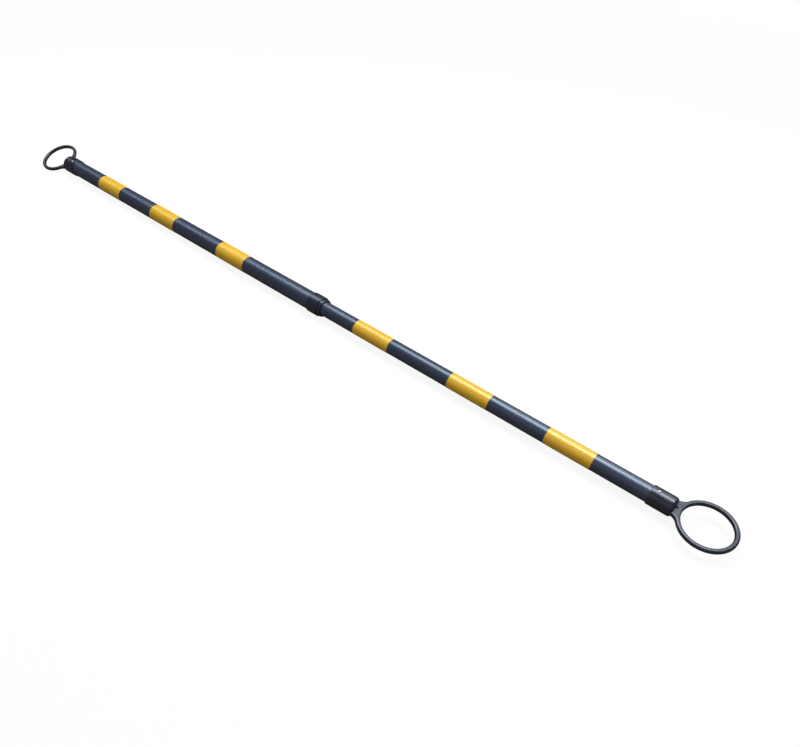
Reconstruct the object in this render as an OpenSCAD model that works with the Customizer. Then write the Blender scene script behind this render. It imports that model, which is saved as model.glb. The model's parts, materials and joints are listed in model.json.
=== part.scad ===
// Retractable bar that links two traffic cones.
// An inner tube slides in an outer tube, and a ring on each end drops over a cone's top.
// The bar lies along X on the floor, pulled right out, with the outer tube towards -X.

/* [Bar] */
// Overall length pulled right out, over both rings
extended_len = 2000; // [1850:10:2050]
// Overall length pushed right in, over both rings
collapsed_len = 1250; // [1200:10:1400]
// Turn of the inner ring from the outer ring, about the bar
ring_twist = -18; // [-44:1:0]

/* [Tubes] */
// Outside diameter of the outer tube
outer_d = 40; // [38:0.5:46]
// Wall of the outer tube
outer_wall = 1.6; // [1.2:0.1:2]
// Outside diameter of the inner tube
inner_d = 32; // [28:0.5:33]
// Wall of the inner tube
inner_wall = 1.5; // [1:0.1:2.5]

/* [Ring ends] */
// Outside diameter of a ring
ring_od = 100; // [90:1:130]
// Width of the ring's rim, from its bore to its outer edge
ring_w = 8; // [6:0.5:12]
// Thickness of the ring along its bore
ring_t = 8.5; // [6:0.5:12]
// Rounding of the ring's outer edges
ring_round = 3.5; // [1:0.25:3.75]
// Rounding of the ring's bore edges
bore_round = 2.5; // [0.5:0.25:3.5]
// Gap that the neck bridges, from the ring's outer edge to the cap
neck_len = 4; // [2:0.5:12]
// How far the neck stands in from the cap's side
neck_inset = 1; // [0.8:0.1:5]
// Length of a cap along the tube
cap_len = 44; // [36:1:60]
// Wall of a cap round its tube
cap_wall = 1.9; // [1.5:0.1:3]
// Closed end of a cap
cap_end = 3; // [2.5:0.5:6]
// Rounding of a cap's closed end
cap_round = 6; // [2:0.25:7]
// Thickness of the rib that stiffens the neck
rib_t = 2; // [1.5:0.5:6]
// Height of that rib above the neck, at the cap
rib_h = 2.5; // [2:0.5:8]

/* [Rivets] */
// Shank diameter of a blind rivet
rivet_d = 3.2; // [2.4:0.2:4.8]
// Head diameter of a blind rivet
rivet_head_d = 6.5; // [5.5:0.25:9]
// Height of a rivet's domed head
rivet_head_h = 1.4; // [1:0.1:2]
// Diameter of the set end inside the tube
rivet_bulb_d = 5; // [4:0.25:6.5]
// Length of the set end
rivet_bulb_len = 3.5; // [2:0.5:6]
// Hole left in the head by the drawn pin
rivet_eye_d = 1.8; // [1:0.1:2.2]
// Distance of a rivet from the cap's open edge
rivet_inset = 12; // [8:1:20]

/* [Mouth] */
// Length of the collar on the outer tube's mouth
collar_len = 29; // [20:1:40]
// Wall of the collar
collar_wall = 2.1; // [1.5:0.1:4]
// Rounding of the collar's edges
collar_round = 1.5; // [0.5:0.25:2]
// Length of the bush inside the outer tube
bush_len = 60; // [40:1:90]
// Length of the bush's lip in front of the tube
lip_len = 8.5; // [4:0.5:14]
// Diameter of the lip
lip_d = 39.5; // [38:0.5:44]
// Rounding of the lip's front edge
lip_round = 1.5; // [0.5:0.25:2]

/* [Reflective bands] */
// Length of a band along the tube
band_len = 93; // [60:1:105]
// Thickness of the film
film_t = 0.2; // [0.1:0.05:0.5]
// How the bare outer tube is shared out before, between and after its bands, from its ring
outer_bare_parts = [20, 21, 26, 33]; // [10:1:50]
// How the bare inner tube is shared out before, between and after its bands, from its ring
inner_bare_parts = [22, 26, 32, 20]; // [10:1:50]

/* [Sliding tail] */
// Length of the plug inside the inner tube
spigot_len = 30; // [22:1:50]
// Thickness of each flange on the plug
flange_t = 4; // [3:0.5:8]
// Hole through the plug
plug_bore_d = 10; // [6:1:16]
// Rounding of the plug's two ends
plug_round = 1; // [0.5:0.25:1.5]
// Length of the split guide ring
guide_len = 12; // [8:1:20]
// Thickness of the split guide ring, from its bore to its outside
guide_t = 4.7; // [3:0.1:6]
// Width of the slit in the guide ring
guide_slit = 3; // [1:0.5:6]
// Thickness of the rubber drag ring
drag_d = 3.2; // [2.4:0.2:4]
// Diameter of the cross pin
pin_d = 4; // [3:0.5:6]

/* [Clearances] */
// Between pieces that are fixed together
slip = 0.05; // [0.03:0.01:0.1]
// Round the guide ring, which turns on the plug and slides in the tube
ring_fit = 0.08; // [0.03:0.01:0.1]
// Round the drag ring, which rubs in the outer tube
drag_fit = 0.1; // [0.05:0.01:0.2]
// Between a sliding piece and what it passes
run_gap = 0.3; // [0.2:0.05:0.8]
// Between the plug's flanges and the outer tube
flange_gap = 0.8; // [0.5:0.1:1]
// Left at each end stop
stop_gap = 0.5; // [0.3:0.1:2]
// Between film and tube
bond_gap = 0.02; // [0.01:0.01:0.05]

/* [Hidden] */
$fn = 96;

tube_black = "#252a33";
fitting_black = "#1b1d22";
film_yellow = "#efb528";
rivet_silver = "#c9ccd0";
nylon_white = "#e4e0d4";
rubber_grey = "#3a3a3c";

// Keeps a cut clear of the face that it leaves through
over = 1;
// How far the neck's arcs run in past the ring's edge
neck_bite = 0.3;
// Least flat left between two roundings of the ring
rim_flat = 0.5;
// The ring's roundings, limited by the size of its section
rim_round = min(ring_round, (min(ring_t, ring_w) - rim_flat) / 2);
rim_bore_round = min(bore_round, (ring_t - rim_flat) / 2, ring_w - rim_round - rim_flat);

outer_r = outer_d / 2;
inner_r = inner_d / 2;
outer_bore_r = outer_r - outer_wall;
inner_bore_r = inner_r - inner_wall;
outer_cap_r = outer_r + slip + cap_wall;
inner_cap_r = inner_r + slip + cap_wall;
collar_r = outer_r + slip + collar_wall;
bush_bore_r = inner_r + bond_gap + film_t + run_gap;
flange_r = outer_bore_r - flange_gap;
guide_r = outer_bore_r - ring_fit;
guide_core_r = guide_r - guide_t - ring_fit;
drag_centre_r = outer_bore_r - drag_fit - drag_d / 2;
drag_core_r = drag_centre_r - drag_d / 2 - slip;

// Places along the bar, from the outer ring's centre
ring_r = ring_od / 2;
inner_ring_at = extended_len - ring_od;
cap_from = ring_r + neck_len;
cap_to = cap_from + cap_len;
socket_at = cap_from + cap_end;
rivet_at = cap_to - rivet_inset;
lip_to = collapsed_len - ring_od - cap_to - stop_gap;
mouth_at = lip_to - lip_len;
bush_from = mouth_at - bush_len;
tail_at = bush_from - stop_gap;

// The plug's head, from its stop flange back to its last flange
stop_to = tail_at - slip;
guide_to = stop_to - flange_t;
guide_from = guide_to - guide_len - 2 * slip;
drag_to = guide_from - flange_t;
drag_from = drag_to - drag_d - 2 * slip;
head_from = drag_from - flange_t;
pin_at = tail_at + spigot_len / 2;

// The collar lies on the floor, and the outer ring leans until its edge touches the floor
axis_z = max(collar_r, outer_cap_r);
lean_arm = norm([ring_r - rim_round, ring_t / 2 - rim_round]);
lean_offset = atan2(ring_t / 2 - rim_round, ring_r - rim_round);
outer_roll = asin((axis_z - rim_round) / lean_arm) - lean_offset;
inner_roll = outer_roll + ring_twist;

// Puts a piece that is drawn from the outer ring's centre, along +X, in its place
module in_place() {
    translate([-inner_ring_at / 2, 0, axis_z]) children();
}

module at_outer_end() {
    in_place() rotate([outer_roll, 0, 0]) children();
}

module at_inner_end() {
    in_place() translate([inner_ring_at, 0, 0]) rotate([inner_roll, 0, 0]) rotate([0, 0, 180]) children();
}

// Turns a half profile, radius across and length up, about the bar's axis
module spun() {
    rotate([0, 90, 0]) rotate_extrude() children();
}

// Half profile of a round bar whose two end edges may be rounded
module bar_half(r, from, to, from_round = 0, to_round = 0) {
    translate([0, from + from_round]) square([r, to - from - from_round - to_round]);
    if (from_round > 0) {
        translate([0, from]) square([r - from_round, 2 * from_round]);
        translate([r - from_round, from + from_round]) circle(from_round);
    }
    if (to_round > 0) {
        translate([0, to - 2 * to_round]) square([r - to_round, 2 * to_round]);
        translate([r - to_round, to - to_round]) circle(to_round);
    }
}

// Half profile of a tube with square ends
module tube_half(r, bore_r, from, to) {
    translate([bore_r, from]) square([r - bore_r, to - from]);
}

// Section of the ring's rim, with its own rounding on the bore side and the outer side
module rim_section() {
    half = ring_t / 2;
    translate([rim_bore_round, -half]) square([ring_w - rim_bore_round - rim_round, ring_t]);
    translate([0, rim_bore_round - half]) square([ring_w / 2, ring_t - 2 * rim_bore_round]);
    translate([ring_w / 2, rim_round - half]) square([ring_w / 2, ring_t - 2 * rim_round]);
    for (side = [-1, 1]) {
        translate([rim_bore_round, side * (half - rim_bore_round)]) circle(rim_bore_round);
        translate([ring_w - rim_round, side * (half - rim_round)]) circle(rim_round);
    }
}

// Rounds both edges of the ring's plate along an arc of radius r
module edge_cutter(r) {
    rotate_extrude() for (side = [0, 1]) mirror([0, side]) difference() {
        translate([r - over, ring_t / 2 - rim_round]) square(rim_round + over);
        translate([r + rim_round, ring_t / 2 - rim_round]) circle(rim_round);
    }
}

// Flat neck that flares into the ring along two arcs, from half_w at the cap
module neck(half_w) {
    meet_r = ring_r - neck_bite;
    arc_x = cap_from + cap_round;
    arc_r = (arc_x * arc_x + half_w * half_w - meet_r * meet_r) / (2 * (meet_r - half_w));
    arc_y = half_w + arc_r;
    difference() {
        translate([0, 0, -ring_t / 2]) linear_extrude(ring_t) difference() {
            polygon([[0, 0], [arc_x, -arc_y], [arc_x, arc_y]]);
            circle(ring_r - ring_w / 2);
            for (side = [-1, 1]) translate([arc_x, side * arc_y]) circle(arc_r);
        }
        for (side = [-1, 1]) translate([arc_x, side * arc_y, 0]) edge_cutter(arc_r);
    }
}

// Rib along the middle of the neck, above and below it
module neck_rib() {
    foot_x = ring_r - ring_w / 2;
    foot_z = ring_t / 2 - rim_round / 2;
    rise = (ring_t / 2 + rib_h - foot_z) / (cap_from - foot_x);
    top_z = foot_z + rise * (socket_at - foot_x);
    rotate([90, 0, 0]) translate([0, 0, -rib_t / 2]) linear_extrude(rib_t)
        polygon([[socket_at, top_z], [foot_x, foot_z], [foot_x, -foot_z], [socket_at, -top_z]]);
}

// Height of the flat that a rivet's head sits on
function rivet_seat(cap_r) = sqrt(pow(cap_r, 2) - pow(rivet_head_d / 2 + slip, 2));

// Hole for the upper and the lower rivet
module rivet_hole(reach) {
    translate([rivet_at, 0, -reach]) cylinder(d = rivet_d + 2 * slip, h = 2 * reach);
}

// Ring, neck and cap in one moulding, with the ring's centre at the origin and the cap along +X
module ring_end(tube_r) {
    cap_r = tube_r + slip + cap_wall;
    difference() {
        union() {
            rotate_extrude() translate([ring_r - ring_w, 0]) rim_section();
            neck(cap_r - neck_inset);
            neck_rib();
            spun() bar_half(cap_r, cap_from, cap_to, cap_round, cap_wall / 2);
        }
        spun() bar_half(tube_r + slip, socket_at, cap_to + over);
        rivet_hole(cap_r + over);
        for (side = [0, 180]) rotate([side, 0, 0]) translate([rivet_at, 0, rivet_seat(cap_r)])
            cylinder(d = rivet_head_d + 2 * slip, h = over);
    }
}

// Blind rivet: domed head, shank and the set end inside the tube
module rivet(cap_r, bore_r) {
    seat = rivet_seat(cap_r) + slip;
    bulb_top = sqrt(pow(bore_r, 2) - pow(rivet_bulb_d / 2, 2)) - slip;
    head_r = rivet_head_d / 2;
    dome_r = (head_r * head_r + rivet_head_h * rivet_head_h) / (2 * rivet_head_h);
    difference() {
        union() {
            translate([0, 0, seat]) intersection() {
                translate([0, 0, rivet_head_h - dome_r]) sphere(dome_r);
                cylinder(r = head_r, h = rivet_head_h);
            }
            translate([0, 0, bulb_top - rivet_bulb_len / 2])
                cylinder(d = rivet_d, h = seat - bulb_top + rivet_bulb_len / 2 + rivet_head_h / 2);
            translate([0, 0, bulb_top - rivet_bulb_len]) cylinder(d = rivet_bulb_d, h = rivet_bulb_len);
        }
        translate([0, 0, seat]) cylinder(d = rivet_eye_d, h = rivet_head_h + over);
    }
}

module rivet_pair(cap_r, bore_r) {
    for (side = [0, 180]) rotate([side, 0, 0]) translate([rivet_at, 0, 0]) rivet(cap_r, bore_r);
}

// Sum of a list's first entries
function total(parts, count) = count == 0 ? 0 : parts[count - 1] + total(parts, count - 1);

// Start of a band on a length of tube, from the end where the parts begin
function band_start(number, tube_len, parts) =
    (number - 1) * band_len
    + (tube_len - (len(parts) - 1) * band_len) * total(parts, number) / total(parts, len(parts));

module band(tube_r, from) {
    color(film_yellow) in_place() spun()
        tube_half(tube_r + bond_gap + film_t, tube_r + bond_gap, from, from + band_len);
}

module outer_tube() {
    color(tube_black) difference() {
        in_place() spun() tube_half(outer_r, outer_bore_r, socket_at + slip, mouth_at);
        at_outer_end() rivet_hole(outer_r + over);
    }
}

module outer_ring_end() {
    color(fitting_black) at_outer_end() ring_end(outer_r);
}

module outer_rivets() {
    color(rivet_silver) at_outer_end() rivet_pair(outer_cap_r, outer_bore_r);
}

module outer_band(number) {
    shown_len = mouth_at - collar_len - cap_to;
    band(outer_r, cap_to + band_start(number, shown_len, outer_bare_parts));
}

module mouth_collar() {
    color(fitting_black) in_place() spun() difference() {
        bar_half(collar_r, mouth_at - collar_len, mouth_at, collar_round, collar_round);
        bar_half(outer_r + slip, mouth_at - collar_len - over, mouth_at + over);
    }
}

module guide_bush() {
    color(fitting_black) in_place() spun() difference() {
        union() {
            bar_half(outer_bore_r - slip, bush_from, mouth_at + lip_len / 2);
            bar_half(lip_d / 2, mouth_at + slip, lip_to, 0, lip_round);
        }
        bar_half(bush_bore_r, bush_from - over, lip_to + over);
    }
}

// Split so that it snaps over the plug's flange
module guide_ring() {
    color(nylon_white) in_place() difference() {
        spun() tube_half(guide_r, guide_r - guide_t, guide_from + slip, guide_to - slip);
        translate([guide_from, -guide_slit / 2, 0]) cube([guide_len + 2 * slip, guide_slit, outer_r]);
    }
}

module inner_tube() {
    color(tube_black) difference() {
        in_place() spun() tube_half(inner_r, inner_bore_r, tail_at, inner_ring_at - socket_at - slip);
        at_inner_end() rivet_hole(inner_r + over);
        pin_hole();
    }
}

module inner_ring_end() {
    color(fitting_black) at_inner_end() ring_end(inner_r);
}

module inner_rivets() {
    color(rivet_silver) at_inner_end() rivet_pair(inner_cap_r, inner_bore_r);
}

module inner_band(number) {
    shown_len = inner_ring_at - cap_to - lip_to;
    band(inner_r, inner_ring_at - cap_to - band_start(number, shown_len, inner_bare_parts) - band_len);
}

// Cross hole for the pin, through the plug and both sides of the inner tube
module pin_hole() {
    in_place() translate([pin_at, 0, 0]) rotate([90, 0, 0])
        cylinder(d = pin_d + 2 * slip, h = inner_d + 2 * over, center = true);
}

module tail_plug() {
    color(nylon_white) difference() {
        in_place() spun() difference() {
            union() {
                bar_half(inner_bore_r - slip, guide_to, tail_at + spigot_len, 0, plug_round);
                bar_half(flange_r, guide_to, stop_to);
                bar_half(guide_core_r, drag_to, stop_to);
                bar_half(flange_r, drag_to, guide_from);
                bar_half(drag_core_r, head_from, guide_from);
                bar_half(flange_r, head_from, drag_from, plug_round, 0);
            }
            bar_half(plug_bore_d / 2, head_from - over, tail_at + spigot_len + over);
        }
        pin_hole();
    }
}

module plug_pin() {
    half_len = sqrt(pow(inner_r, 2) - pow(pin_d / 2, 2)) - slip;
    color(rivet_silver) in_place() translate([pin_at, 0, 0]) rotate([90, 0, 0])
        cylinder(d = pin_d, h = 2 * half_len, center = true);
}

module drag_ring() {
    color(rubber_grey) in_place() spun()
        translate([drag_centre_r, (drag_from + drag_to) / 2]) circle(d = drag_d);
}

outer_tube();
outer_ring_end();
outer_rivets();
outer_band(1);  // outer_band_1
outer_band(2);  // outer_band_2
outer_band(3);  // outer_band_3
mouth_collar();
guide_bush();
guide_ring();
inner_tube();
inner_ring_end();
inner_rivets();
inner_band(1);  // inner_band_1
inner_band(2);  // inner_band_2
inner_band(3);  // inner_band_3
tail_plug();
plug_pin();
drag_ring();
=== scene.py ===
import json
import math
import bpy
from mathutils import Matrix, Quaternion, Vector


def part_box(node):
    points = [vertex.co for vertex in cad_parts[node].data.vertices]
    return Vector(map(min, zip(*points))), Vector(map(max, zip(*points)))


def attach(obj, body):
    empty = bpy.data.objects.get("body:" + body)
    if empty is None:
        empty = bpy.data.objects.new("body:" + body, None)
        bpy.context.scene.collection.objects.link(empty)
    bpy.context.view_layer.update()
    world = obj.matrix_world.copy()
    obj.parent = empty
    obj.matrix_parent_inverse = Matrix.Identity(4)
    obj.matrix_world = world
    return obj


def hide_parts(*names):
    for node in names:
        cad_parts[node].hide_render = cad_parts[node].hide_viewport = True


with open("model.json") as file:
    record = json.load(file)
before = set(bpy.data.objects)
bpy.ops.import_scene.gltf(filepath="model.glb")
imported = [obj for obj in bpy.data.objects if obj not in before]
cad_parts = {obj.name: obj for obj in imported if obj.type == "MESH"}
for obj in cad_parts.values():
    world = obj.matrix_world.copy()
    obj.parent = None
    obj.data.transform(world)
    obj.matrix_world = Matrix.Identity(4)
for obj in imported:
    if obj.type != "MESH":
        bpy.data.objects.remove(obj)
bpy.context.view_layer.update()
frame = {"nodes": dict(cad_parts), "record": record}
nodes = frame["nodes"]
record = frame["record"]
mm = 0.001  # the sizes of finishes and pieces below are in millimetres
perMetre = 1 / mm
bodyOf = {node: body for body, members in record["behaviour"]["bodies"].items() for node in members}
slotOf = {subpart["node"]: subpart["material_slot"] for subpart in record["subparts"]}
mountOf = {mount["name"]: mount for mount in record["mounts"]}
halves = {"outer": 1, "inner": -1}  # each half of the bar, and the way along X from its ring to its tube
print("frame loaded with", len(nodes), "nodes")


# Helpers for node trees and meshes

def put(tree, kind, sockets=None, **settings):
    node = tree.nodes.new(kind)
    for key, value in settings.items():
        setattr(node, key, value)
    for socket, value in (sockets or {}).items():
        if isinstance(value, bpy.types.NodeSocket):
            tree.links.new(value, node.inputs[socket])
        else:
            node.inputs[socket].default_value = value
    return node


def calc(tree, operation, first, second=0.0, third=0.0):
    node = put(tree, "ShaderNodeMath", {0: first, 1: second, 2: third}, operation=operation)
    return node.outputs[0]


def newGroup(name, kind, inputs, outputs):
    tree = bpy.data.node_groups.new(name, kind)
    for label, socketType in inputs.items():
        tree.interface.new_socket(label, in_out="INPUT", socket_type="NodeSocket" + socketType)
    for label, socketType in outputs.items():
        tree.interface.new_socket(label, in_out="OUTPUT", socket_type="NodeSocket" + socketType)
    return tree, put(tree, "NodeGroupInput").outputs, put(tree, "NodeGroupOutput").inputs


def useGroup(tree, group, sockets):
    return put(tree, "ShaderNodeGroup", sockets, node_tree=group).outputs


def drawLine(name, points):
    # bare edges from point to point, for a geometry tree to build on
    mesh = bpy.data.meshes.new(name)
    mesh.from_pydata(points, [(i, i + 1) for i in range(len(points) - 1)], [])
    return mesh


# Shader groups that more than one finish uses

grainMix = {"grainDetail": 2.0, "patchDetail": 4.0, "patchShare": 0.75, "lowNoise": 0.35, "highNoise": 0.65}


def makeGrainGroup():
    # fine grain of a moulded or coated surface, with larger patches of more and less shine
    mix = grainMix
    tree, given, result = newGroup("moulded grain", "ShaderNodeTree", {
        "Vector": "Vector", "Grain Size": "Float", "Patch Size": "Float",
        "Low Roughness": "Float", "High Roughness": "Float",
    }, {"Height": "Float", "Roughness": "Float", "Patches": "Float"})
    grain = put(tree, "ShaderNodeTexNoise", {
        "Vector": given["Vector"], "Detail": mix["grainDetail"],
        "Scale": calc(tree, "DIVIDE", perMetre, given["Grain Size"])})
    patches = put(tree, "ShaderNodeTexNoise", {
        "Vector": given["Vector"], "Detail": mix["patchDetail"],
        "Scale": calc(tree, "DIVIDE", perMetre, given["Patch Size"])})
    patchPart = calc(tree, "MULTIPLY", patches.outputs["Fac"], mix["patchShare"])
    mixed = calc(tree, "MULTIPLY_ADD", grain.outputs["Fac"], 1 - mix["patchShare"], patchPart)
    rough = put(tree, "ShaderNodeMapRange", {
        "Value": mixed, "From Min": mix["lowNoise"], "From Max": mix["highNoise"],
        "To Min": given["Low Roughness"], "To Max": given["High Roughness"]})
    tree.links.new(grain.outputs["Fac"], result["Height"])
    tree.links.new(rough.outputs["Result"], result["Roughness"])
    tree.links.new(patches.outputs["Fac"], result["Patches"])
    return tree


rubMarks = {"lineDetail": 1.0, "placeDetail": 3.0, "threshold": 0.5, "softness": 0.08}


def makeRubGroup():
    # thin rub marks that run along the bar, broken up into stretches
    marks = rubMarks
    tree, given, result = newGroup("rub marks", "ShaderNodeTree", {
        "Vector": "Vector", "Mark Length": "Float", "Mark Width": "Float", "Amount": "Float",
    }, {"Mask": "Float"})
    across = calc(tree, "DIVIDE", perMetre, given["Mark Width"])
    along = calc(tree, "DIVIDE", perMetre, given["Mark Length"])
    stretch = put(tree, "ShaderNodeCombineXYZ", {"X": along, "Y": across, "Z": across})
    drawn = put(tree, "ShaderNodeVectorMath", {
        0: given["Vector"], 1: stretch.outputs[0]}, operation="MULTIPLY")
    lines = put(tree, "ShaderNodeTexNoise", {
        "Vector": drawn.outputs[0], "Scale": 1.0, "Detail": marks["lineDetail"]})
    places = put(tree, "ShaderNodeTexNoise", {
        "Vector": given["Vector"], "Scale": along, "Detail": marks["placeDetail"]})
    both = calc(tree, "MULTIPLY", lines.outputs["Fac"], places.outputs["Fac"])
    limit = calc(tree, "SUBTRACT", marks["threshold"], given["Amount"])
    mask = put(tree, "ShaderNodeMapRange", {
        "Value": both, "From Min": limit, "From Max": calc(tree, "ADD", limit, marks["softness"]),
    }, interpolation_type="SMOOTHSTEP")
    tree.links.new(mask.outputs["Result"], result["Mask"])
    return tree


grainGroup = makeGrainGroup()
rubGroup = makeRubGroup()


# Finishes

def newFinish(name, look):
    material = bpy.data.materials.new(name)
    material.use_nodes = True
    tree = material.node_tree
    shader = tree.nodes["Principled BSDF"]
    shader.inputs["IOR"].default_value = look["ior"]
    shader.inputs["Specular IOR Level"].default_value = look["specular"]
    shader.inputs["Specular Tint"].default_value = (*look["tint"], 1)
    place = put(tree, "ShaderNodeTexCoord").outputs["Object"]
    return material, tree, shader, place


def mixColour(tree, factor, first, second):
    node = put(tree, "ShaderNodeMix", {"Factor": factor}, data_type="RGBA")
    for socket, colour in (("A", first), ("B", second)):
        if isinstance(colour, bpy.types.NodeSocket):
            tree.links.new(colour, node.inputs[socket])
        else:
            node.inputs[socket].default_value = (*colour, 1)
    return node.outputs["Result"]


def addGrain(tree, place, look):
    return useGroup(tree, grainGroup, {
        "Vector": place, "Grain Size": look["grain"], "Patch Size": look["patch"],
        "Low Roughness": look["lowRough"], "High Roughness": look["highRough"]})


def addRub(tree, place, look):
    return useGroup(tree, rubGroup, {
        "Vector": place, "Mark Length": look["rubLength"], "Mark Width": look["rubWidth"],
        "Amount": look["rubAmount"]})["Mask"]


def addBump(tree, shader, height, look):
    bump = put(tree, "ShaderNodeBump", {
        "Height": height, "Strength": look["bump"], "Distance": look["bumpDepth"] * mm})
    tree.links.new(bump.outputs[0], shader.inputs["Normal"])


tubeFinish = {
    "deep": (0.012, 0.026, 0.066), "pale": (0.016, 0.032, 0.078), "rubbed": (0.028, 0.044, 0.084),
    "specular": 1.0, "ior": 1.8, "tint": (0.72, 0.84, 1.0), "lowRough": 0.34, "highRough": 0.40,
    "grain": 0.8, "patch": 70.0, "dieLineWidth": 2.5, "dieLineLength": 600.0, "dieLineDetail": 2.0,
    "rubLength": 45.0, "rubWidth": 1.2, "rubAmount": 0.05, "rubShare": 0.3, "rubRough": 0.05,
    "bump": 0.04, "bumpDepth": 0.02,
}


def makeTubeBlack():
    look = tubeFinish
    material, tree, shader, place = newFinish("tubeBlack", look)
    # die lines left by extruding the tube: long along the bar, fine across it
    along = perMetre / look["dieLineLength"]
    across = perMetre / look["dieLineWidth"]
    stretch = put(tree, "ShaderNodeMapping", {"Vector": place, "Scale": (along, across, across)})
    lines = put(tree, "ShaderNodeTexNoise", {
        "Vector": stretch.outputs[0], "Scale": 1.0, "Detail": look["dieLineDetail"]})
    grain = addGrain(tree, place, look)
    rub = addRub(tree, place, look)
    plain = mixColour(tree, grain["Patches"], look["deep"], look["pale"])
    worn = mixColour(tree, calc(tree, "MULTIPLY", rub, look["rubShare"]), plain, look["rubbed"])
    tree.links.new(worn, shader.inputs["Base Color"])
    rough = calc(tree, "MULTIPLY_ADD", rub, look["rubRough"], grain["Roughness"])
    tree.links.new(rough, shader.inputs["Roughness"])
    addBump(tree, shader, lines.outputs["Fac"], look)
    return material


fittingFinish = {
    "deep": (0.007, 0.012, 0.028), "pale": (0.010, 0.016, 0.034), "rubbed": (0.025, 0.031, 0.046),
    "specular": 1.0, "ior": 1.6, "tint": (0.80, 0.88, 1.0), "lowRough": 0.29, "highRough": 0.35,
    "grain": 0.5, "patch": 18.0, "rubLength": 14.0, "rubWidth": 0.6, "rubAmount": 0.07, "rubShare": 0.2,
    "bump": 0.06, "bumpDepth": 0.02,
}


def makeFittingBlack():
    look = fittingFinish
    material, tree, shader, place = newFinish("fittingBlack", look)
    grain = addGrain(tree, place, look)
    rub = addRub(tree, place, look)
    plain = mixColour(tree, grain["Patches"], look["deep"], look["pale"])
    worn = mixColour(tree, calc(tree, "MULTIPLY", rub, look["rubShare"]), plain, look["rubbed"])
    tree.links.new(worn, shader.inputs["Base Color"])
    tree.links.new(grain["Roughness"], shader.inputs["Roughness"])
    addBump(tree, shader, grain["Height"], look)
    return material


filmFinish = {
    "deep": (0.84, 0.48, 0.006), "pale": (0.92, 0.53, 0.009),
    "specular": 1.0, "ior": 1.75, "tint": (1.0, 0.95, 0.70), "lowRough": 0.32, "highRough": 0.38,
    "grain": 1.2, "patch": 35.0, "ripple": 6.0, "rippleDetail": 1.0, "bump": 0.04, "bumpDepth": 0.03,
}


def makeFilmYellow():
    look = filmFinish
    material, tree, shader, place = newFinish("filmYellow", look)
    ripple = put(tree, "ShaderNodeTexNoise", {
        "Vector": place, "Scale": perMetre / look["ripple"], "Detail": look["rippleDetail"]})
    grain = addGrain(tree, place, look)
    colour = mixColour(tree, grain["Patches"], look["deep"], look["pale"])
    tree.links.new(colour, shader.inputs["Base Color"])
    tree.links.new(grain["Roughness"], shader.inputs["Roughness"])
    addBump(tree, shader, ripple.outputs["Fac"], look)
    return material


plainSurface = {
    "specular": 0.5, "ior": 1.5, "tint": (1, 1, 1), "patch": 8.0, "bump": 0.2, "bumpDepth": 0.02,
}
plainFinishes = {
    "rivet_metal": {
        "name": "rivetMetal", "deep": (0.55, 0.56, 0.58), "pale": (0.68, 0.69, 0.71),
        "lowRough": 0.32, "highRough": 0.45, "metallic": 1.0, "grain": 0.3},
    "nylon": {
        "name": "nylonNatural", "deep": (0.70, 0.66, 0.57), "pale": (0.78, 0.74, 0.65),
        "lowRough": 0.38, "highRough": 0.5, "metallic": 0.0, "grain": 0.6},
    "pin_steel": {
        "name": "pinSteel", "deep": (0.50, 0.50, 0.51), "pale": (0.62, 0.62, 0.63),
        "lowRough": 0.25, "highRough": 0.35, "metallic": 1.0, "grain": 0.2},
    "drag_rubber": {
        "name": "dragRubber", "deep": (0.022, 0.022, 0.023), "pale": (0.035, 0.035, 0.036),
        "lowRough": 0.6, "highRough": 0.75, "metallic": 0.0, "grain": 0.6},
}


def makePlain(own):
    look = {**plainSurface, **own}
    material, tree, shader, place = newFinish(look["name"], look)
    grain = addGrain(tree, place, look)
    colour = mixColour(tree, grain["Patches"], look["deep"], look["pale"])
    tree.links.new(colour, shader.inputs["Base Color"])
    tree.links.new(grain["Roughness"], shader.inputs["Roughness"])
    addBump(tree, shader, grain["Height"], look)
    shader.inputs["Metallic"].default_value = look["metallic"]
    return material


finishes = {
    "tube_black": makeTubeBlack(),
    "fitting_black": makeFittingBlack(),
    "film_yellow": makeFilmYellow(),
}
for slot, own in plainFinishes.items():
    finishes[slot] = makePlain(own)
for node, shown in nodes.items():
    shown.data.materials.clear()
    shown.data.materials.append(finishes[slotOf[node]])
print("finishes set on", len(nodes), "nodes")


# Pieces grown from geometry nodes

def grow(tree, name, node, values, source=None):
    piece = bpy.data.objects.new(name, source or bpy.data.meshes.new(name))
    bpy.context.collection.objects.link(piece)
    modifier = piece.modifiers.new(tree.name, "NODES")
    modifier.node_group = tree
    settings = {**values, "Finish": finishes[slotOf[node]]}
    for item in tree.interface.items_tree:
        if item.in_out == "INPUT" and item.name in settings:
            modifier[item.identifier] = settings[item.name]
    shaped = piece.evaluated_get(bpy.context.evaluated_depsgraph_get())
    mesh = bpy.data.meshes.new_from_object(shaped)
    piece.modifiers.clear()
    piece.data = mesh
    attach(piece, bodyOf[node])
    return piece


def closeTree(tree, result, geometry, creaseDeg, finish):
    # creases over the angle stay sharp, then the piece is made real and takes its finish
    angle = put(tree, "GeometryNodeInputMeshEdgeAngle").outputs["Unsigned Angle"]
    crease = put(tree, "FunctionNodeCompare", {
        0: angle, 1: math.radians(creaseDeg)}, operation="GREATER_THAN")
    smooth = put(tree, "GeometryNodeSetShadeSmooth", {0: geometry, "Shade Smooth": True}, domain="FACE")
    sharp = put(tree, "GeometryNodeSetShadeSmooth", {
        0: smooth.outputs[0], "Selection": crease.outputs[0], "Shade Smooth": False}, domain="EDGE")
    real = put(tree, "GeometryNodeRealizeInstances", {0: sharp.outputs[0]})
    shown = put(tree, "GeometryNodeSetMaterial", {0: real.outputs[0], "Material": finish})
    tree.links.new(shown.outputs[0], result["Geometry"])


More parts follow.
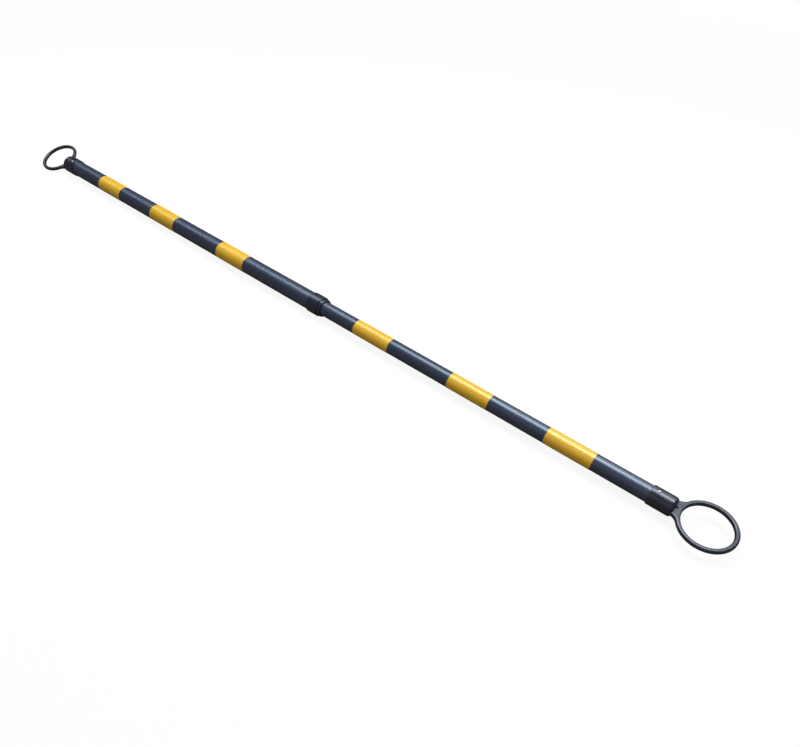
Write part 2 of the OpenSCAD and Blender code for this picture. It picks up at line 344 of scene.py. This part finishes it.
def ringPlace(half):
    # upward axis and middle of a half's ring, from the mount in its bore
    mount = mountOf[half + "_ring_bore"]
    return -Vector(mount["axis"]), Vector(mount["pos_m"])


film = {
    "thickness": 0.2, "bond": 0.02, "lap": 8.0, "lapRise": 3.0, "lapTurnDeg": 40.0, "sides": 128,
    "creaseDeg": 20,
}


def makeFilmTree():
    # a strip of film laid round a tube, with its end lapped over its start
    tree, given, result = newGroup("film wrap", "GeometryNodeTree", {
        "Wrap Radius": "Float", "Thickness": "Float", "Lap": "Float", "Lap Rise": "Float",
        "Lap Step": "Float", "Lap Turn": "Float", "Length": "Float", "Middle": "Vector",
        "Sides": "Int", "Finish": "Material",
    }, {"Geometry": "Geometry"})
    girth = calc(tree, "MULTIPLY", given["Wrap Radius"], math.tau)
    strip = calc(tree, "ADD", girth, given["Lap"])
    wrap = put(tree, "GeometryNodeCurveSpiral", {
        "Resolution": given["Sides"], "Rotations": calc(tree, "DIVIDE", strip, girth),
        "Start Radius": given["Wrap Radius"], "End Radius": given["Wrap Radius"], "Height": 0.0})
    gone = put(tree, "GeometryNodeSplineParameter").outputs["Length"]
    lift = put(tree, "ShaderNodeMapRange", {
        "Value": gone, "From Min": calc(tree, "SUBTRACT", girth, given["Lap Rise"]), "From Max": girth,
        "To Min": 0.0, "To Max": given["Lap Step"]}, interpolation_type="SMOOTHSTEP")
    outward = put(tree, "ShaderNodeVectorMath", {
        0: put(tree, "GeometryNodeInputPosition").outputs[0]}, operation="NORMALIZE")
    offset = put(tree, "ShaderNodeVectorMath", {
        0: outward.outputs[0], "Scale": lift.outputs["Result"]}, operation="SCALE")
    lapped = put(tree, "GeometryNodeSetPosition", {0: wrap.outputs[0], "Offset": offset.outputs[0]})
    level = put(tree, "GeometryNodeSetCurveNormal", {0: lapped.outputs[0]}, mode="Z_UP")
    section = put(tree, "GeometryNodeCurvePrimitiveQuadrilateral", {
        "Width": given["Thickness"], "Height": given["Length"]})
    sheet = put(tree, "GeometryNodeCurveToMesh", {
        "Curve": level.outputs[0], "Profile Curve": section.outputs[0], "Fill Caps": True})
    turn = put(tree, "ShaderNodeCombineXYZ", {"Z": given["Lap Turn"]})
    turned = put(tree, "GeometryNodeTransform", {0: sheet.outputs[0], "Rotation": turn.outputs[0]})
    laid = put(tree, "GeometryNodeTransform", {
        0: turned.outputs[0], "Rotation": (0, math.radians(90), 0), "Translation": given["Middle"]})
    closeTree(tree, result, laid.outputs[0], film["creaseDeg"], given["Finish"])
    return tree


def makeFilms():
    size = film
    tree = makeFilmTree()
    bands = [node for node in nodes if slotOf[node] == "film_yellow"]
    for node in bands:
        low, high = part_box(node)
        piece = grow(tree, node.replace("band", "film"), node, {
            "Wrap Radius": (high.z - low.z) / 2 - size["thickness"] * mm / 2,
            "Thickness": size["thickness"] * mm, "Lap": size["lap"] * mm,
            "Lap Rise": size["lapRise"] * mm, "Lap Step": (size["thickness"] + size["bond"]) * mm,
            "Lap Turn": math.radians(size["lapTurnDeg"]), "Length": high.x - low.x,
            "Middle": (low + high) / 2, "Sides": size["sides"]})
        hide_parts(node)
    print("film laid on", len(bands), "bands")


rivet = {
    "headWidth": 6.5, "headRise": 1.4, "rim": 0.3, "eyeWidth": 1.8, "stubWidth": 1.5, "stubRise": 0.85,
    "recess": 0.5, "shankWidth": 3.2, "bulbWidth": 5.0, "bulbLength": 3.5, "bevel": 0.12,
    "turningRadius": 10.0, "mergeWithin": 0.001, "sides": 40, "domeSteps": 8, "creaseDeg": 28,
}


def makeTurnTree():
    # turns a half section about its axis, sets two of them opposite each other round the bar
    tree, given, result = newGroup("turned pair", "GeometryNodeTree", {
        "Geometry": "Geometry", "Turning Radius": "Float", "Merge Within": "Float", "Sides": "Int",
        "Place": "Vector", "Roll": "Float", "Finish": "Material",
    }, {"Geometry": "Geometry"})
    section = put(tree, "GeometryNodeMeshToCurve", {0: given["Geometry"]})
    circle = put(tree, "GeometryNodeCurvePrimitiveCircle", {
        "Resolution": given["Sides"], "Radius": given["Turning Radius"]})
    level = put(tree, "GeometryNodeSetCurveNormal", {0: circle.outputs[0]}, mode="Z_UP")
    turned = put(tree, "GeometryNodeCurveToMesh", {
        "Curve": level.outputs[0], "Profile Curve": section.outputs[0]})
    closed = put(tree, "GeometryNodeMergeByDistance", {
        0: turned.outputs[0], "Distance": given["Merge Within"]})
    points = put(tree, "GeometryNodePoints", {"Count": 2, "Position": given["Place"]})
    index = put(tree, "GeometryNodeInputIndex").outputs[0]
    roll = calc(tree, "MULTIPLY_ADD", index, math.pi, given["Roll"])
    turn = put(tree, "FunctionNodeAxisAngleToRotation", {"Axis": (1, 0, 0), "Angle": roll})
    pair = put(tree, "GeometryNodeInstanceOnPoints", {
        "Points": points.outputs[0], "Instance": closed.outputs[0], "Rotation": turn.outputs[0]})
    real = put(tree, "GeometryNodeRealizeInstances", {0: pair.outputs[0]})
    closeTree(tree, result, real.outputs[0], rivet["creaseDeg"], given["Finish"])
    return tree


def rivetSection(bottom, seat):
    # half section from the stub in the head's eye, over the dome and down the shank to the set end
    size = rivet
    head, eye, stub = size["headWidth"] / 2, size["eyeWidth"] / 2, size["stubWidth"] / 2
    shank, bulb = size["shankWidth"] / 2, size["bulbWidth"] / 2
    bevel = size["bevel"]
    rise = size["headRise"] - size["rim"]
    domeRadius = (head ** 2 + rise ** 2) / (2 * rise)
    eyeFloor = size["headRise"] - size["recess"]
    outline = [(0, size["stubRise"]), (stub - bevel, size["stubRise"]), (stub, size["stubRise"] - bevel)]
    outline += [(stub, eyeFloor - bevel), (eye, eyeFloor)]
    for step in range(size["domeSteps"] + 1):
        across = eye + bevel + (head - eye - bevel) * step / size["domeSteps"]
        outline.append((across, size["headRise"] - domeRadius + math.sqrt(domeRadius ** 2 - across ** 2)))
    outline += [(head, 0), (shank, 0)]
    outline = [(across, seat / mm + height) for across, height in outline]
    setEnd = bottom / mm
    bulbTop = setEnd + size["bulbLength"]
    outline += [(shank, bulbTop + bulb - shank), (bulb, bulbTop - bevel), (bulb, setEnd + bulb - shank)]
    outline += [(shank, setEnd), (0, setEnd)]
    turning = size["turningRadius"] * mm
    corners = [(across * mm - turning, -height * mm, 0) for across, height in outline]
    return drawLine("rivetSection", corners)


def makeRivets():
    size = rivet
    tree = makeTurnTree()
    for half in halves:
        node = half + "_rivets"
        up, centre = ringPlace(half)
        low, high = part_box(node)
        heights = [abs(up.dot(vertex.co - centre)) for vertex in nodes[node].data.vertices]
        seat = max(heights) - size["headRise"] * mm
        piece = grow(tree, half + "_blind_rivets", node, {
            "Turning Radius": size["turningRadius"] * mm, "Merge Within": size["mergeWithin"] * mm,
            "Sides": size["sides"], "Roll": math.atan2(-up.y, up.z),
            "Place": Vector(((low.x + high.x) / 2, centre.y, centre.z)),
        }, rivetSection(min(heights), seat))
        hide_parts(node)
    print("rivets set")


partingLine = {
    "width": 0.4, "sunk": 0.08, "ringWidth": 100.0, "capWall": 1.95, "neckInset": 1.0, "neckBite": 0.3,
    "neckArcAt": 60.0, "ringSteps": 140, "neckSteps": 12, "sides": 8, "creaseDeg": 60,
}


def makeBeadTree():
    # a fine round bead along a drawn line
    tree, given, result = newGroup("parting bead", "GeometryNodeTree", {
        "Geometry": "Geometry", "Width": "Float", "Sides": "Int", "Finish": "Material",
    }, {"Geometry": "Geometry"})
    line = put(tree, "GeometryNodeMeshToCurve", {0: given["Geometry"]})
    section = put(tree, "GeometryNodeCurvePrimitiveCircle", {
        "Resolution": given["Sides"], "Radius": calc(tree, "MULTIPLY", given["Width"], 0.5)})
    bead = put(tree, "GeometryNodeCurveToMesh", {
        "Curve": line.outputs[0], "Profile Curve": section.outputs[0], "Fill Caps": True})
    closeTree(tree, result, bead.outputs[0], partingLine["creaseDeg"], given["Finish"])
    return tree


def partingPath(tubeRadius):
    # mid-height outline of ring and neck, from one side of the cap round to the other
    size = partingLine
    halfWidth = tubeRadius / mm + size["capWall"] - size["neckInset"]
    touch = size["ringWidth"] / 2 - size["neckBite"]
    arcAt = size["neckArcAt"]
    arcRadius = (arcAt ** 2 + halfWidth ** 2 - touch ** 2) / (2 * (touch - halfWidth))
    arcAcross = halfWidth + arcRadius
    meet = math.atan2(arcAcross, arcAt)
    ringRadius = size["ringWidth"] / 2 - size["sunk"]
    neckRadius = arcRadius + size["sunk"]
    halfSteps = size["ringSteps"] // 2
    path = []
    for step in range(size["neckSteps"]):
        angle = -math.pi / 2 - (math.pi / 2 - meet) * step / size["neckSteps"]
        path.append((arcAt + neckRadius * math.cos(angle), arcAcross + neckRadius * math.sin(angle)))
    for step in range(halfSteps + 1):
        angle = meet + (math.pi - meet) * step / halfSteps
        path.append((ringRadius * math.cos(angle), ringRadius * math.sin(angle)))
    return path + [(along, -across) for along, across in reversed(path[:-1])]


def makePartingLines():
    size = partingLine
    tree = makeBeadTree()
    for half, towards in halves.items():
        up, centre = ringPlace(half)
        low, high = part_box(half + "_tube")
        along = Vector((towards, 0, 0))
        across = up.cross(along)
        path = partingPath((high.z - low.z) / 2)
        line = drawLine("partingPath", [centre + along * x * mm + across * y * mm for x, y in path])
        grow(tree, half + "_ring_parting_line", half + "_ring_end", {
            "Width": size["width"] * mm, "Sides": size["sides"]}, line)
    print("parting lines drawn")


makeFilms()
makeRivets()
makePartingLines()


# Floor, light and camera, with places and spans in metres

studio = {
    "floorWhite": (0.95, 0.95, 0.95), "floorBounce": (0.115, 0.088, 0.066), "shownWhite": 1.0,
    "cameraShare": 0.9, "glossyShare": 0.02, "mirroredWhite": 0.10, "ambient": 0.40,
    "floorSpan": 60.0, "fadeFrom": 1.6, "fadeTo": 4.5,
}


def mirroredRay(tree, path):
    return calc(tree, "MAXIMUM", path["Is Glossy Ray"], path["Is Transmission Ray"])


def makeFloor():
    mesh = bpy.data.meshes.new("studioFloor")
    half = studio["floorSpan"] / 2
    corners = [(-half, -half, 0), (half, -half, 0), (half, half, 0), (-half, half, 0)]
    mesh.from_pydata(corners, [], [(0, 1, 2, 3)])
    floor = bpy.data.objects.new("studioFloor", mesh)
    bpy.context.collection.objects.link(floor)
    material = bpy.data.materials.new("studioFloor")
    material.use_nodes = True
    tree = material.node_tree
    tree.nodes.clear()
    path = put(tree, "ShaderNodeLightPath").outputs
    paleness = mixColour(tree, path["Is Camera Ray"], studio["floorBounce"], studio["floorWhite"])
    matt = put(tree, "ShaderNodeBsdfDiffuse", {"Color": paleness})
    white = put(tree, "ShaderNodeEmission", {"Strength": studio["shownWhite"]})
    # away from the bar the floor fades to plain white, so that no horizon shows
    place = put(tree, "ShaderNodeTexCoord").outputs["Object"]
    away = put(tree, "ShaderNodeVectorMath", {0: place}, operation="LENGTH").outputs["Value"]
    shown = put(tree, "ShaderNodeMapRange", {
        "Value": away, "From Min": studio["fadeFrom"], "From Max": studio["fadeTo"],
        "To Min": studio["cameraShare"], "To Max": 1.0}, interpolation_type="SMOOTHSTEP")
    mirroredShare = calc(tree, "MULTIPLY", mirroredRay(tree, path), studio["glossyShare"])
    share = calc(tree, "MULTIPLY_ADD", path["Is Camera Ray"], shown.outputs["Result"], mirroredShare)
    mixed = put(tree, "ShaderNodeMixShader", {0: share, 1: matt.outputs[0], 2: white.outputs[0]})
    put(tree, "ShaderNodeOutputMaterial", {"Surface": mixed.outputs[0]})
    mesh.materials.append(material)


def makeWorld():
    world = bpy.data.worlds.new("studioWorld")
    bpy.context.scene.world = world
    world.use_nodes = True
    tree = world.node_tree
    tree.nodes.clear()
    path = put(tree, "ShaderNodeLightPath").outputs
    unseen = put(tree, "ShaderNodeMapRange", {
        "Value": mirroredRay(tree, path), "To Min": studio["ambient"], "To Max": studio["mirroredWhite"]})
    strength = put(tree, "ShaderNodeMapRange", {
        "Value": path["Is Camera Ray"], "To Min": unseen.outputs[0], "To Max": studio["shownWhite"]})
    light = put(tree, "ShaderNodeBackground", {"Color": (1, 1, 1, 1), "Strength": strength.outputs[0]})
    put(tree, "ShaderNodeOutputWorld", {"Surface": light.outputs[0]})


lamps = {
    "nearStrip": {
        "place": (0.45, 0.65, 2.2), "aim": (0.45, 0, 0), "turnDeg": 0, "size": (1.9, 1.0), "watts": 38},
    "midStrip": {
        "place": (-1.2, 0.45, 2.2), "aim": (-1.2, 0, 0), "turnDeg": 12, "size": (1.4, 0.9), "watts": 14},
    "farStrip": {
        "place": (-2.95, -0.1, 2.2), "aim": (-2.95, -0.1, 0), "turnDeg": 6, "size": (2.1, 0.6),
        "watts": 11},
    "backSoft": {
        "place": (0.9, 2.9, 2.1), "aim": (0.7, 0, 0), "turnDeg": 0, "size": (3.0, 1.4), "watts": 20},
    "frontFill": {
        "place": (1.2, -4.0, 2.6), "aim": (0, 0, 0), "turnDeg": 0, "size": (5.0, 3.0), "watts": 9},
}


def makeLamps():
    for name, setting in lamps.items():
        data = bpy.data.lights.new(name, "AREA")
        data.shape = "RECTANGLE"
        data.size, data.size_y = setting["size"]
        data.energy = setting["watts"]
        lamp = bpy.data.objects.new(name, data)
        lamp.location = setting["place"]
        aim = (Vector(setting["aim"]) - Vector(setting["place"])).to_track_quat("-Z", "Y")
        turn = Quaternion((0, 0, 1), math.radians(setting["turnDeg"]))
        lamp.rotation_euler = (aim @ turn).to_euler()
        bpy.context.collection.objects.link(lamp)


view = {
    "place": (0.952, -0.880, 0.870), "aim": (0.349, -0.064, 0.0), "rollDeg": -5.3, "farClip": 100.0,
    "focalPixels": 682.0, "centrePixel": (393.0, 383.0), "imagePixels": (800, 747), "sensorWidth": 36.0,
}


def makeCamera():
    width, height = view["imagePixels"]
    centreX, centreY = view["centrePixel"]
    data = bpy.data.cameras.new("photoCamera")
    data.sensor_fit = "HORIZONTAL"
    data.sensor_width = view["sensorWidth"]
    data.lens = view["focalPixels"] * view["sensorWidth"] / width
    data.shift_x = (width / 2 - centreX) / width
    data.shift_y = (centreY - height / 2) / width
    data.clip_end = view["farClip"]
    camera = bpy.data.objects.new("photoCamera", data)
    place = Vector(view["place"])
    ahead = (Vector(view["aim"]) - place).normalized()
    level = ahead.cross(Vector((0, 0, 1))).normalized()
    right = Matrix.Rotation(math.radians(view["rollDeg"]), 3, ahead) @ level
    up = right.cross(ahead)
    turn = Matrix((right, up, -ahead)).transposed()
    camera.matrix_world = Matrix.Translation(place) @ turn.to_4x4()
    bpy.context.collection.objects.link(camera)
    bpy.context.scene.camera = camera


makeFloor()
makeWorld()
makeLamps()
makeCamera()
bpy.context.scene.view_settings.view_transform = "Standard"
print("studio ready")
